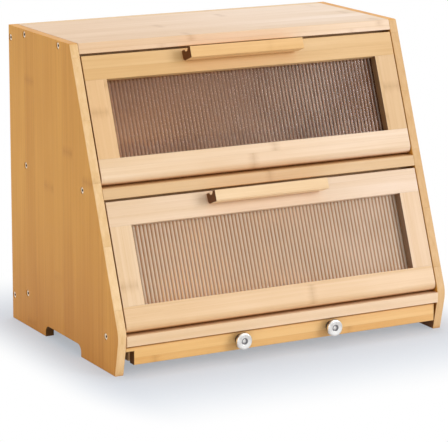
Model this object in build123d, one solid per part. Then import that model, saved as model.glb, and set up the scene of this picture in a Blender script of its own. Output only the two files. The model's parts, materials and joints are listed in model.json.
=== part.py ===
from build123d import *
import math
import os

# Two-tier bread box of bamboo: two side panels carry a top panel, two shelves and a thin back.
# Two framed doors with fluted clear windows lean back in the sloping front and swing down on
# pins, and a shallow drawer runs under the bottom shelf. X is across, +Y is the back, Z is up,
# and the origin lies under the middle of the whole object. A depth is measured forward from
# the back, and a door is drawn flat about its pivot: x across, y up the door, z out of it.

# Carcass
width = 400.0
height = 330.0
top_depth = 155.0
knee_depth = 267.0
knee_height = 42.5
knee_radius = 30.0
foot_setback = 9.0
side_thickness = 10.0
shelf_thickness = 11.0
back_thickness = 10.0
back_bottom = 14.0
base_clearance = 32.0
rear_foot_length = 88.0
arch_length = 89.0
arch_height = 12.5
arch_radius = 8.0
board_easing = 0.8
top_corner_radius = 3.0
top_nosing_radius = 2.0

# Assembly screws with a hexagon socket, sunk in the side panels
screw_shank_radius = 1.8
screw_head_radius = 3.5
screw_head_height = 2.2
screw_length = 30.0
screw_socket_across = 3.0
screw_socket_depth = 1.5
screw_sink = 0.8
counterbore_radius = 3.75
screw_front_inset = 30.0
screw_rear_depth = 41.0
screw_back_end = 13.4
hole_clearance = 0.05

# Doors
door_thickness = 15.0
door_side_gap = 1.2
door_head_gap = 2.0
door_floor_gap = 1.2
door_easing = 1.0
rail_height = 26.0
stile_width = 24.7
groove_recess = 9.5
groove_depth = 5.2
tenon_length = 5.0
glue_gap = 0.1

# Fluted window
window_thickness = 3.0
window_edge = 4.5
rib_pitch = 4.35
rib_height = 0.7

# Door pivots
pin_radius = 2.0
pin_in_rail = 14.0
pin_in_side = 6.4
bush_outer_radius = 3.2
bush_length = 7.0
running_clearance = 0.05

# Handles
handle_length = 137.0
handle_offset = -3.2
handle_reach = 19.5
handle_drop = 2.2
handle_face_height = 12.0
handle_base_step = 0.6
handle_lip = 5.5
handle_groove_radius = 4.0
handle_groove_lift = 1.2
handle_easing = 1.0
handle_back_easing = 5.0
handle_screw_radius = 1.75
handle_screw_head_radius = 3.4
handle_screw_head_height = 2.0
handle_screw_bite = 10.0
handle_screw_spacing = 96.0

# Door stops and magnetic catches
stop_height = 21.0
stop_depth = 13.0
stop_gap = 0.4
magnet_radius = 4.0
magnet_thickness = 3.0
strike_radius = 5.0
strike_thickness = 1.2
strike_screw_radius = 1.2
strike_screw_head_radius = 2.2
strike_screw_length = 7.0
catch_spacing = 250.0
catch_drop = 9.0

# Runners under the bottom shelf
runner_width = 8.0
runner_bottom = 15.0
runner_height = 9.7
runner_rear_depth = 12.0
runner_front_setback = 24.0
runner_screw_radius = 1.4
runner_screw_head_radius = 2.8
runner_screw_head_height = 1.6
runner_screw_length = 14.0
runner_screw_end = 26.0
runner_screw_count = 3

# Drawer
drawer_setback = 6.0
drawer_front_height = 19.2
drawer_front_bottom = 10.2
drawer_front_thickness = 10.0
drawer_end_gap = 0.8
corner_notch_width = 10.0
corner_notch_height = 15.2
drawer_side_thickness = 8.0
drawer_side_height = 15.6
drawer_side_gap = 0.8
drawer_lip_height = 3.0
drawer_lip_gap = 0.3
drawer_lip_end_gap = 0.8
drawer_floor_thickness = 3.0
drawer_floor_lift = 2.0
drawer_floor_edge = 3.0
drawer_rear_depth = 20.0
drawer_travel = 160.0
drawer_easing = 1.0
stop_block_length = 40.0
stop_block_thickness = 10.0
stop_block_overlap = 2.0
stop_block_gap = 0.3
dowel_radius = 2.0
dowel_inset = 3.0
dowel_in_front = 6.0
dowel_in_side = 14.0
drawer_screw_radius = 1.4
drawer_screw_head_radius = 2.8
drawer_screw_head_height = 1.6
drawer_screw_length = 24.0

# Knobs
knob_spacing = 111.0
knob_height = 21.8
knob_radius = 9.0
knob_reach = 12.0
knob_foot_radius = 5.5
knob_foot_height = 2.2
knob_neck_radius = 4.0
knob_rim_height = 4.4
knob_rim_rounding = 1.6
knob_dish_radius = 7.0
knob_dish_depth = 0.4
knob_recess_radius = 3.7
knob_recess_depth = 1.2
knob_button_radius = 1.9
knob_button_rise = 0.9
knob_screw_radius = 2.0
knob_screw_bite = 6.0
knob_screw_head_radius = 3.6
knob_screw_head_height = 2.2

# Worked out from the sizes above
foot_depth = knee_depth - foot_setback
drawer_face_depth = knee_depth - drawer_setback
overall_depth = drawer_face_depth + knob_reach
back_y = overall_depth / 2
inner_half = width / 2 - side_thickness
slope = math.atan2(knee_depth - top_depth, height - knee_height)
slope_sin, slope_cos, slope_tan = math.sin(slope), math.cos(slope), math.tan(slope)
compartment = (height - base_clearance - 3 * shelf_thickness) / 2
bottom_shelf_top = base_clearance + shelf_thickness
middle_shelf_bottom = bottom_shelf_top + compartment
middle_shelf_top = middle_shelf_bottom + shelf_thickness
top_panel_bottom = height - shelf_thickness
shelf_width = 2 * inner_half
door_half = door_thickness / 2
door_width = shelf_width - 2 * door_side_gap
pivot_lift = door_half + door_floor_gap
door_top = (compartment - pivot_lift - door_half * slope_sin) / slope_cos - door_head_gap
window_low = rail_height - door_half
window_high = door_top - rail_height
window_width = door_width - 2 * stile_width
window_front = door_half - groove_recess
window_back = window_front - window_thickness
rib_count = round(window_width / rib_pitch)
handle_screw_y = door_top - handle_drop - handle_face_height / 2
lip_bottom = runner_bottom + runner_height + drawer_lip_gap
drawer_side_outer = inner_half - runner_width - drawer_side_gap
drawer_side_inner = drawer_side_outer - drawer_side_thickness
drawer_side_top = lip_bottom + drawer_lip_height
drawer_side_bottom = drawer_side_top - drawer_side_height
drawer_floor_bottom = drawer_side_bottom + drawer_floor_lift
drawer_front_rear_depth = drawer_face_depth - drawer_front_thickness
dowel_height = (drawer_side_bottom + drawer_side_top) / 2 + drawer_floor_thickness / 2


def y_at(depth):
    """Y of a point that lies this far forward of the back."""
    return back_y - depth


def slope_depth(z):
    """Depth of the sloping front plane at this height."""
    return top_depth + (height - z) * slope_tan


def block(x_low, x_high, depth_rear, depth_front, z_low, z_high):
    """A plain box between two widths, two depths and two heights."""
    centre = ((x_low + x_high) / 2, y_at((depth_rear + depth_front) / 2), (z_low + z_high) / 2)
    return Pos(*centre) * Box(x_high - x_low, depth_front - depth_rear, z_high - z_low)


def profile_along_x(points, x_low, x_high, rounded=()):
    """A prism along X over (depth, height) points; rounded holds (point, radius) pairs."""
    corners = [(y_at(depth), z) for depth, z in points]
    face = make_face(Plane.YZ * Polyline(*corners, close=True))
    for (depth, z), radius in rounded:
        corner = Vector(0, y_at(depth), z)
        nearest = face.vertices().sort_by_distance(corner)[0]
        face = fillet(nearest, radius)
    return Pos(x_low, 0, 0) * extrude(face, x_high - x_low, dir=(1, 0, 0))


def end_loops(solid, axis):
    """Edges that bound the two faces square to an axis."""
    faces = solid.faces().filter_by(axis).sort_by(axis)
    return faces[0].edges() + faces[-1].edges()


def rod(start, axis, radius, length):
    """A cylinder from a start point along a direction."""
    return Plane(origin=start, z_dir=axis) * Cylinder(
        radius, length, align=(Align.CENTER, Align.CENTER, Align.MIN))


def countersunk(start, axis, radius, head_radius, head_height, length):
    """A countersunk screw: its head's flat face lies at start, and it runs along the axis."""
    head = Plane(origin=start, z_dir=axis) * Cone(
        head_radius, radius, head_height, align=(Align.CENTER, Align.CENTER, Align.MIN))
    return head + rod(start, axis, radius, length)


def write(name, shape):
    """Write one node."""
    shape.label = name
    export_step(shape, f"parts/{name}.step")


# Side panels

def screw_places():
    """(depth, height) of the screws in each side panel, two in each board they hold."""
    places = [(back_thickness / 2, height - screw_back_end),
              (back_thickness / 2, back_bottom + screw_back_end)]
    for bottom in (top_panel_bottom, middle_shelf_bottom, base_clearance):
        middle = bottom + shelf_thickness / 2
        front = min(slope_depth(middle), knee_depth)
        places += [(screw_rear_depth, middle), (front - screw_front_inset, middle)]
    return places


def pivot_places():
    """(depth, height) of the lower and the upper door's pivot."""
    places = []
    for floor in (bottom_shelf_top, middle_shelf_top):
        z = floor + pivot_lift
        places.append((slope_depth(z + door_half * slope_sin) - door_half * slope_cos, z))
    return places


def runner_screw_places():
    """(depth, height) of the screws that hold each runner."""
    front = drawer_face_depth - runner_front_setback
    first, last = runner_rear_depth + runner_screw_end, front - runner_screw_end
    step = (last - first) / (runner_screw_count - 1)
    return [(first + step * i, runner_bottom + runner_height / 2) for i in range(runner_screw_count)]


def side_panel(side):
    """One side panel; side is -1 for the left and 1 for the right."""
    arch_front = rear_foot_length + arch_length
    front_top = (top_depth, height)
    knee = (knee_depth, knee_height)
    arch_corners = [(arch_front, arch_height), (rear_foot_length, arch_height)]
    outline = [(0, 0), (0, height), front_top, knee, (foot_depth, 0), (arch_front, 0),
               *arch_corners, (rear_foot_length, 0)]
    rounded = [(front_top, top_corner_radius), (knee, knee_radius)]
    rounded += [(corner, arch_radius) for corner in arch_corners]
    inner, outer = inner_half, width / 2
    panel = profile_along_x(outline, inner, outer, rounded)
    panel = fillet(end_loops(panel, Axis.X), board_easing)
    for depth, z in screw_places():
        hole = rod((inner, y_at(depth), z), (1, 0, 0), screw_shank_radius + hole_clearance,
                   side_thickness)
        bore_depth = screw_sink + screw_head_height
        bore = rod((outer - bore_depth, y_at(depth), z), (1, 0, 0), counterbore_radius, bore_depth)
        panel -= hole + bore
    for depth, z in pivot_places():
        panel -= rod((inner, y_at(depth), z), (1, 0, 0), bush_outer_radius + hole_clearance,
                     bush_length)
    bite = runner_screw_length - runner_width
    for depth, z in runner_screw_places():
        panel -= rod((inner, y_at(depth), z), (1, 0, 0), runner_screw_radius + hole_clearance,
                     bite + hole_clearance)
    return panel if side > 0 else mirror(panel, Plane.YZ)


def case_screws(side):
    """The socket screws of one side panel."""
    head_x = width / 2 - screw_sink
    screws = []
    for depth, z in screw_places():
        start = (head_x, y_at(depth), z)
        head = rod(start, (-1, 0, 0), screw_head_radius, screw_head_height)
        shank = rod(start, (-1, 0, 0), screw_shank_radius, screw_head_height + screw_length)
        socket_face = Plane(origin=start, z_dir=(-1, 0, 0)) * RegularPolygon(
            screw_socket_across / 2, 6, major_radius=False)
        screw = head + shank - extrude(socket_face, screw_socket_depth)
        screws.append(screw if side > 0 else mirror(screw, Plane.YZ))
    return Compound(children=screws)


def end_holes(board):
    """Cut the pilot holes of the assembly screws into both ends of a board."""
    reach = width / 2 - screw_sink - screw_head_height - screw_length - hole_clearance
    for depth, z in screw_places():
        hole = rod((reach, y_at(depth), z), (1, 0, 0), screw_shank_radius + hole_clearance,
                   inner_half - reach)
        board = board - hole - mirror(hole, Plane.YZ)
    return board


# Boards between the sides

def shelf_board(bottom, nosing):
    """A board whose front edge follows the sloping front, with its top front edge rounded."""
    top = bottom + shelf_thickness
    front_top = (min(slope_depth(top), knee_depth), top)
    front_bottom = (min(slope_depth(bottom), knee_depth), bottom)
    outline = [(back_thickness, bottom), (back_thickness, top), front_top, front_bottom]
    rounded = [(front_top, nosing), (front_bottom, board_easing)]
    return end_holes(profile_along_x(outline, -inner_half, inner_half, rounded))


def back_panel():
    """The thin back between the sides, from above the feet to the top."""
    panel = block(-inner_half, inner_half, 0, back_thickness, back_bottom, height)
    return end_holes(panel)


def door_place(level):
    """Plane of a door about its pivot: level 0 is the lower door, 1 the upper."""
    depth, z = pivot_places()[level]
    return Plane(origin=(0, y_at(depth), z), x_dir=(1, 0, 0), z_dir=(0, -slope_cos, slope_sin))


def catch_places():
    """(x, y) of the two magnetic catches in a door's own frame."""
    return [(side * catch_spacing / 2, door_top - catch_drop) for side in (-1, 1)]


def stop_strip(level):
    """The batten that a closed door rests against, with pockets for its magnets."""
    ceiling = middle_shelf_bottom if level == 0 else top_panel_bottom
    setback = (door_thickness + stop_gap) / slope_cos
    low = ceiling - stop_height
    front_low, front_high = slope_depth(low) - setback, slope_depth(ceiling) - setback
    rear = front_high - stop_depth
    outline = [(rear, low), (rear, ceiling), (front_high, ceiling), (front_low, low)]
    strip = profile_along_x(outline, -inner_half, inner_half)
    for x, y in catch_places():
        pocket = rod((x, y, -door_half - stop_gap), (0, 0, -1), magnet_radius + hole_clearance,
                     magnet_thickness + hole_clearance)
        strip -= door_place(level) * pocket
    return strip


def magnets(level):
    """The two disc magnets of a stop strip."""
    return Compound(children=[
        door_place(level) * rod((x, y, -door_half - stop_gap), (0, 0, -1), magnet_radius,
                                magnet_thickness)
        for x, y in catch_places()])


def bushes(level):
    """The plain bushes in the side panels that a door's pins turn in."""
    depth, z = pivot_places()[level]
    bush = rod((inner_half, y_at(depth), z), (1, 0, 0), bush_outer_radius, bush_length)
    bush -= rod((inner_half, y_at(depth), z), (1, 0, 0), pin_radius + running_clearance,
                bush_length)
    return Compound(children=[bush, mirror(bush, Plane.YZ)])


# Doors, drawn flat about the pivot

def groove(x_low, x_high, y_low, y_high):
    """The slot in the frame that holds the window's edge and the tenons."""
    depth = window_thickness + 2 * glue_gap
    centre = ((x_low + x_high) / 2, (y_low + y_high) / 2, (window_front + window_back) / 2)
    return Pos(*centre) * Box(x_high - x_low, y_high - y_low, depth)


def top_rail():
    """The rail along a door's top, with a pocket for each strike and holes for the handle."""
    middle = (window_high + door_top) / 2
    rail = Pos(0, middle, 0) * Box(door_width, rail_height, door_thickness)
    outer_edges = rail.edges().filter_by(Axis.X).group_by(Axis.Y)[-1]
    rail = fillet(outer_edges, door_easing)
    rail -= groove(-door_width / 2, door_width / 2, window_high, window_high + groove_depth)
    for x, y in catch_places():
        rail -= rod((x, y, -door_half), (0, 0, 1), strike_radius + hole_clearance,
                    strike_thickness + hole_clearance)
        rail -= rod((x, y, -door_half), (0, 0, 1), strike_screw_radius + hole_clearance,
                    strike_screw_length + hole_clearance)
    for x in handle_screw_x():
        rail -= countersunk((x, handle_screw_y, -door_half), (0, 0, 1),
                            handle_screw_radius + hole_clearance,
                            handle_screw_head_radius + hole_clearance,
                            handle_screw_head_height, door_thickness)
    return rail


def bottom_rail():
    """The rail along a door's bottom, fully rounded about the pivot, with a hole for each pin."""
    rail = Pos(0, window_low / 2, 0) * Box(door_width, window_low, door_thickness)
    rail += rod((-door_width / 2, 0, 0), (1, 0, 0), door_half, door_width)
    rail -= groove(-door_width / 2, door_width / 2, window_low - groove_depth, window_low)
    for side in (-1, 1):
        start = (side * door_width / 2, 0, 0)
        rail -= rod(start, (-side, 0, 0), pin_radius + hole_clearance, pin_in_rail + hole_clearance)
    return rail


def stile(side):
    """The upright at one side of a door, with a stub tenon at each end."""
    outer = door_width / 2
    inner = outer - stile_width
    middle = (window_low + window_high) / 2
    upright = Pos((inner + outer) / 2, middle, 0) * Box(
        stile_width, window_high - window_low, door_thickness)
    tongue_centre = (window_front + window_back) / 2
    tongue = Pos((inner + outer) / 2, middle, tongue_centre) * Box(
        stile_width, window_high - window_low + 2 * tenon_length, window_thickness)
    upright = upright + tongue - groove(inner, inner + groove_depth, window_low - groove_depth,
                                        window_high + groove_depth)
    return upright if side > 0 else mirror(upright, Plane.YZ)


def window():
    """The clear plate: flat at the back, fluted in front with round ribs up the door."""
    half = window_width / 2
    pitch = window_width / rib_count
    valley = window_front - rib_height
    edge = half + window_edge
    path = [Line((-half, window_front), (-edge, window_front)),
            Line((-edge, window_front), (-edge, window_back)),
            Line((-edge, window_back), (edge, window_back)),
            Line((edge, window_back), (edge, window_front)),
            Line((edge, window_front), (half, window_front)),
            Line((half, window_front), (half, valley))]
    for i in range(rib_count):
        start = half - i * pitch
        path.append(ThreePointArc((start, valley), (start - pitch / 2, window_front),
                                  (start - pitch, valley)))
    path.append(Line((-half, valley), (-half, window_front)))
    low, high = window_low - window_edge, window_high + window_edge
    section = Plane.XZ * make_face(Curve() + path)
    return Pos(0, high, 0) * extrude(section, high - low, dir=(0, -1, 0))


def handle_screw_x():
    """Places of the two handle screws across a door."""
    return [handle_offset + side * handle_screw_spacing / 2 for side in (-1, 1)]


def handle():
    """The bar on a door's top rail, with a finger groove along its top behind the lip."""
    top = door_top - handle_drop
    bottom = top - handle_face_height
    base_top = top - handle_base_step
    face, reach = door_half, door_half + handle_reach
    lip = reach - handle_lip
    outline = [(face, bottom), (reach, bottom), (reach, top), (lip, top), (lip, base_top),
               (face, base_top)]
    section = make_face(Plane.YZ * Polyline(*[(y, z) for z, y in outline], close=True))
    corners = section.vertices()
    section = fillet(corners.sort_by_distance(Vector(0, bottom, face))[0], handle_back_easing)
    for y, z in ((bottom, reach), (top, reach)):
        corner = section.vertices().sort_by_distance(Vector(0, y, z))[0]
        section = fillet(corner, handle_easing)
    left = handle_offset - handle_length / 2
    bar = Pos(left, 0, 0) * extrude(section, handle_length, dir=(1, 0, 0))
    groove_z = lip - math.sqrt(handle_groove_radius ** 2 - handle_groove_lift ** 2)
    groove_y = base_top + handle_groove_lift
    bar -= rod((left, groove_y, groove_z), (1, 0, 0), handle_groove_radius, handle_length)
    for x in handle_screw_x():
        bar -= rod((x, handle_screw_y, face), (0, 0, 1), handle_screw_radius + hole_clearance,
                   handle_screw_bite + hole_clearance)
    return bar


def handle_screws():
    """The two countersunk screws that hold a handle from behind the door."""
    length = door_thickness + handle_screw_bite
    return Compound(children=[
        countersunk((x, handle_screw_y, -door_half), (0, 0, 1), handle_screw_radius,
                    handle_screw_head_radius, handle_screw_head_height, length)
        for x in handle_screw_x()])


def hinge_pins():
    """The two pivot pins, fast in the bottom rail and turning in the bushes."""
    start = door_width / 2 - pin_in_rail
    length = pin_in_rail + door_side_gap + pin_in_side
    pin = rod((start, 0, 0), (1, 0, 0), pin_radius, length)
    return Compound(children=[pin, mirror(pin, Plane.YZ)])


def strikes():
    """The two steel discs that the magnets pull."""
    discs = []
    for x, y in catch_places():
        disc = rod((x, y, -door_half), (0, 0, 1), strike_radius, strike_thickness)
        disc -= Plane(origin=(x, y, -door_half)) * Cone(
            strike_screw_head_radius + hole_clearance, strike_screw_radius + hole_clearance,
            strike_thickness, align=(Align.CENTER, Align.CENTER, Align.MIN))
        discs.append(disc)
    return Compound(children=discs)


def strike_screws():
    """The countersunk screws through the strikes."""
    return Compound(children=[
        countersunk((x, y, -door_half), (0, 0, 1), strike_screw_radius, strike_screw_head_radius,
                    strike_thickness, strike_screw_length)
        for x, y in catch_places()])


def write_door(level, name):
    """Write every piece of one door in its place."""
    place = door_place(level)
    pieces = {"top_rail": top_rail(), "bottom_rail": bottom_rail(), "left_stile": stile(-1),
              "right_stile": stile(1), "window": window(), "handle": handle(),
              "handle_screws": handle_screws(), "hinge_pins": hinge_pins(),
              "strike_plates": strikes(), "strike_screws": strike_screws()}
    for piece, shape in pieces.items():
        write(f"{name}_door_{piece}", place * shape)


# Runners and drawer

def runner(side):
    """One runner on the inside of a side panel."""
    front = drawer_face_depth - runner_front_setback
    rail = block(inner_half - runner_width, inner_half, runner_rear_depth, front, runner_bottom,
                 runner_bottom + runner_height)
    for depth, z in runner_screw_places():
        rail -= countersunk((inner_half - runner_width, y_at(depth), z), (1, 0, 0),
                            runner_screw_radius + hole_clearance,
                            runner_screw_head_radius + hole_clearance,
                            runner_screw_head_height, runner_width)
    return rail if side > 0 else mirror(rail, Plane.YZ)


def runner_screws(side):
    """The countersunk screws of one runner."""
    screws = []
    for depth, z in runner_screw_places():
        screw = countersunk((inner_half - runner_width, y_at(depth), z), (1, 0, 0),
                            runner_screw_radius, runner_screw_head_radius,
                            runner_screw_head_height, runner_screw_length)
        screws.append(screw if side > 0 else mirror(screw, Plane.YZ))
    return Compound(children=screws)


def drawer_front():
    """The drawer's front, with its lower left corner cut away beside the runner."""
    end = inner_half - drawer_end_gap
    top = drawer_front_bottom + drawer_front_height
    front = block(-end, end, drawer_front_rear_depth, drawer_face_depth, drawer_front_bottom, top)
    front = fillet(front.faces().sort_by(Axis.Y)[0].edges(), drawer_easing)
    front -= block(-end, -end + corner_notch_width, drawer_front_rear_depth, drawer_face_depth,
                   drawer_front_bottom, drawer_front_bottom + corner_notch_height)
    for side in (-1, 1):
        front -= rod((side * knob_spacing / 2, y_at(drawer_front_rear_depth), knob_height),
                     (0, -1, 0), knob_screw_radius + hole_clearance, drawer_front_thickness)
        front -= rod((side * dowel_x(), y_at(drawer_front_rear_depth), dowel_height), (0, -1, 0),
                     dowel_radius + hole_clearance, dowel_in_front + hole_clearance)
    return front


def dowel_x():
    """Distance of each drawer dowel from the middle."""
    return drawer_side_inner + dowel_inset


def drawer_side(side):
    """One drawer side: an upright web, a lip that rides on the runner and a floor groove."""
    lip_outer = inner_half - drawer_lip_end_gap
    web = block(drawer_side_inner, drawer_side_outer, drawer_rear_depth, drawer_front_rear_depth,
                drawer_side_bottom, drawer_side_top)
    lip = block(drawer_side_outer, lip_outer, drawer_rear_depth, drawer_front_rear_depth,
                lip_bottom, drawer_side_top)
    board = web + lip - floor_groove()
    board -= rod((dowel_x(), y_at(drawer_front_rear_depth), dowel_height), (0, 1, 0),
                 dowel_radius + hole_clearance, dowel_in_side + hole_clearance)
    board -= rod((dowel_x(), y_at(drawer_rear_depth), dowel_height), (0, -1, 0),
                 drawer_screw_radius + hole_clearance, drawer_screw_length)
    return board if side > 0 else mirror(board, Plane.YZ)


def floor_groove():
    """The slot round the drawer that takes its floor."""
    edge = drawer_side_inner + drawer_floor_edge + glue_gap
    return block(-edge, edge, drawer_rear_depth - back_rebate(), drawer_front_rear_depth,
                 drawer_floor_bottom - glue_gap, drawer_floor_bottom + drawer_floor_thickness + glue_gap)


def back_rebate():
    """Thickness of the drawer's back, which stands behind its sides."""
    return drawer_side_thickness


def drawer_back():
    """The drawer's back, screwed to the ends of its sides; its top meets the stop block."""
    board = block(-drawer_side_outer, drawer_side_outer, drawer_rear_depth - back_rebate(),
                  drawer_rear_depth, drawer_side_bottom, drawer_side_top)
    for side in (-1, 1):
        start = (side * dowel_x(), y_at(drawer_rear_depth - back_rebate()), dowel_height)
        board -= countersunk(start, (0, -1, 0), drawer_screw_radius + hole_clearance,
                             drawer_screw_head_radius + hole_clearance, drawer_screw_head_height,
                             back_rebate())
    return board


def drawer_floor():
    """The thin board in the sides' grooves."""
    edge = drawer_side_inner + drawer_floor_edge
    return block(-edge, edge, drawer_rear_depth, drawer_front_rear_depth, drawer_floor_bottom,
                 drawer_floor_bottom + drawer_floor_thickness)


def drawer_dowels():
    """The two pegs that join the drawer's front to its sides."""
    start = y_at(drawer_front_rear_depth - dowel_in_side)
    return Compound(children=[
        rod((side * dowel_x(), start, dowel_height), (0, -1, 0), dowel_radius,
            dowel_in_side + dowel_in_front)
        for side in (-1, 1)])


def drawer_screws():
    """The two screws through the drawer's back."""
    start = y_at(drawer_rear_depth - back_rebate())
    return Compound(children=[
        countersunk((side * dowel_x(), start, dowel_height), (0, -1, 0), drawer_screw_radius,
                    drawer_screw_head_radius, drawer_screw_head_height, drawer_screw_length)
        for side in (-1, 1)])


def stop_block():
    """The block under the bottom shelf that ends the drawer's travel."""
    rear = drawer_rear_depth + drawer_travel + stop_block_gap
    return block(-stop_block_length / 2, stop_block_length / 2, rear, rear + stop_block_thickness,
                 drawer_side_top - stop_block_overlap, base_clearance)


def knob(side):
    """One turned metal knob, with a foot, a neck and a dished head."""
    rim_low = knob_reach - knob_rim_height
    dish = knob_reach - knob_dish_depth
    recess = dish - knob_recess_depth
    outline = [(0, 0), (knob_foot_radius, 0), (knob_foot_radius, knob_foot_height),
               (knob_neck_radius, knob_foot_height), (knob_neck_radius, rim_low - knob_rim_rounding),
               (knob_radius, rim_low), (knob_radius, knob_reach), (knob_dish_radius, knob_reach),
               (knob_recess_radius, dish), (knob_recess_radius, recess),
               (knob_button_radius, recess), (knob_button_radius / 2, recess + knob_button_rise),
               (0, recess + knob_button_rise)]
    section = make_face(Polyline(*outline, close=True))
    rim = section.vertices().sort_by_distance(Vector(knob_radius, knob_reach, 0))[0]
    section = fillet(rim, knob_rim_rounding)
    turned = revolve(section, Axis.Y)
    turned = Rotation(180, 0, 0) * turned
    turned = Pos(side * knob_spacing / 2, y_at(drawer_face_depth), knob_height) * turned
    return turned - rod((side * knob_spacing / 2, y_at(drawer_face_depth), knob_height), (0, -1, 0),
                        knob_screw_radius + hole_clearance, knob_screw_bite + hole_clearance)


def knob_screws():
    """The two pan-head screws that hold the knobs from inside the drawer."""
    screws = []
    for side in (-1, 1):
        start = (side * knob_spacing / 2, y_at(drawer_front_rear_depth), knob_height)
        head = rod(start, (0, 1, 0), knob_screw_head_radius, knob_screw_head_height)
        shank = rod(start, (0, -1, 0), knob_screw_radius, drawer_front_thickness + knob_screw_bite)
        screws.append(head + shank)
    return Compound(children=screws)


def main():
    """Write every node of the bread box."""
    os.makedirs("parts", exist_ok=True)
    for side, name in ((-1, "left"), (1, "right")):
        write(f"side_panel_{name}", side_panel(side))
        write(f"case_screws_{name}", case_screws(side))
        write(f"drawer_runner_{name}", runner(side))
        write(f"runner_screws_{name}", runner_screws(side))
        write(f"drawer_side_{name}", drawer_side(side))
        write(f"drawer_knob_{name}", knob(side))
    write("top_panel", shelf_board(top_panel_bottom, top_nosing_radius))
    write("middle_shelf", shelf_board(middle_shelf_bottom, board_easing))
    write("bottom_shelf", shelf_board(base_clearance, board_easing))
    write("back_panel", back_panel())
    write("drawer_stop_block", stop_block())
    for level, name in ((0, "lower"), (1, "upper")):
        write(f"{name}_stop_strip", stop_strip(level))
        write(f"{name}_magnets", magnets(level))
        write(f"{name}_hinge_bushes", bushes(level))
        write_door(level, name)
    write("drawer_front", drawer_front())
    write("drawer_back", drawer_back())
    write("drawer_floor", drawer_floor())
    write("drawer_dowels", drawer_dowels())
    write("drawer_screws", drawer_screws())
    write("knob_screws", knob_screws())


main()
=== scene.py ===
"""Looks of a two-tier bamboo bread box with ribbed clear windows and a shallow drawer."""

from __future__ import annotations

import json
import logging
import math
from dataclasses import dataclass
from enum import Enum

import bmesh
import bpy
from mathutils import Matrix, Vector

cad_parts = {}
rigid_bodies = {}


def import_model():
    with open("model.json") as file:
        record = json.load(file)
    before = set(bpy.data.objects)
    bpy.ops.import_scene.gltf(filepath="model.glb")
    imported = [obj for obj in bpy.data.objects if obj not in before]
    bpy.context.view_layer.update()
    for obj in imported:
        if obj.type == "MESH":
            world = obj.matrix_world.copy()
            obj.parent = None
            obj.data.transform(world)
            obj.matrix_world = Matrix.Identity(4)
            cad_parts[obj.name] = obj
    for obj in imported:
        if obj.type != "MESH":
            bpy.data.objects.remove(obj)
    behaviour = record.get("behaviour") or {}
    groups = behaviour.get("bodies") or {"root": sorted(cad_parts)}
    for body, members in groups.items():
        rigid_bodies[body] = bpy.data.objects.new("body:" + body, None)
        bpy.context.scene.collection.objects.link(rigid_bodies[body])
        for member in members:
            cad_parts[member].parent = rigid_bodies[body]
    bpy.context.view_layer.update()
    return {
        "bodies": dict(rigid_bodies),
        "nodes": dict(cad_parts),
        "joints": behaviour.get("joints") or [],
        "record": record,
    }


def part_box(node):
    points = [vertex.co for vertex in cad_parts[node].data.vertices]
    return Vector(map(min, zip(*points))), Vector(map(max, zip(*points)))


LOG = logging.getLogger("bread_box")
RIBS = 75
Colour = tuple[float, float, float]
Socket = bpy.types.NodeSocket

# How the bamboo is grown and glued: scales per metre, lengths in metres, shares from 0 to 1.
FIBRE_SCALE = (14.0, 1500.0, 1500.0)
BAND_SCALE = (3.5, 230.0, 230.0)
CLOUD_SCALE = (7.0, 26.0, 26.0)
FLECK_SCALE = (70.0, 1700.0, 1700.0)
RAGGED_SCALE = (60.0, 420.0, 420.0)
STRIP_SHIFT = 3.0
KNUCKLE_SPREAD = 7.31
KNUCKLE_FRAY = 0.009
SMUDGE_REACH = 0.0085
LINE_REACH = 0.0014
SMUDGE_SHARE = 0.30
LINE_SHARE = 0.16
SEAM_SHARE = 0.16
FLECK_SHARE = 0.22
WORN_SHARE = 0.45
BOARD_EASING = 0.0009
# How far the painted shade in crevices reaches.
CREVICE_SHADE_REACH = 0.007
GRAIN_DEPTH = 0.00012
# Half the width over which the painted light pales the tone from left to right.
HALF_WIDTH = 0.20

# Factors on a board's own tone.
PALE = (1.08, 1.13, 1.25)
DEEP = (0.90, 0.84, 0.72)
KNUCKLE = (0.62, 0.50, 0.36)
WORN = (1.16, 1.28, 1.55)
# Factor for dark sideways faces: darker end grain and painted shade.
END_GRAIN_AND_SHADE = (0.16, 0.08, 0.04)

# Stretches of a side panel or the top panel, in metres, and the tones they take: painted light on
# the front edge, painted shade in the cut-out and on the inner foot, and a deeper low part.
FRONT_ZONE = (0.02, 0.0)
CUT_OUT_TOP = (0.0140, 0.0125)
CUT_OUT_MIDDLE = 0.004
CUT_OUT_HALF = (0.052, 0.048)
# Painted shade in the cut-out, and its share.
CUT_OUT_SHADE = (0.075, 0.030, 0.007)
CUT_OUT_SHADE_SHARE = 0.9
LOW_ZONE = (0.16, 0.0)
LOW_TINT = (0.88, 0.80, 0.66)
INNER_FACE = (-0.08, -0.16)
FOOT_ZONE = (0.036, 0.030)
# Painted shade on the inner faces of the feet, and its share.
FOOT_SHADE = (0.085, 0.028, 0.006)
FOOT_SHADE_SHARE = 0.85


class Grain(Enum):
    """How a board's fibres lie: the axes of (along, across, through), as 0, 1 or 2 for X, Y, Z."""

    WIDE_FLAT = (0, 1, 2)
    WIDE_UPRIGHT = (0, 2, 1)
    TALL_SIDE = (2, 1, 0)
    TALL_FRONT = (2, 0, 1)
    DEEP_SIDE = (1, 2, 0)


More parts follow.
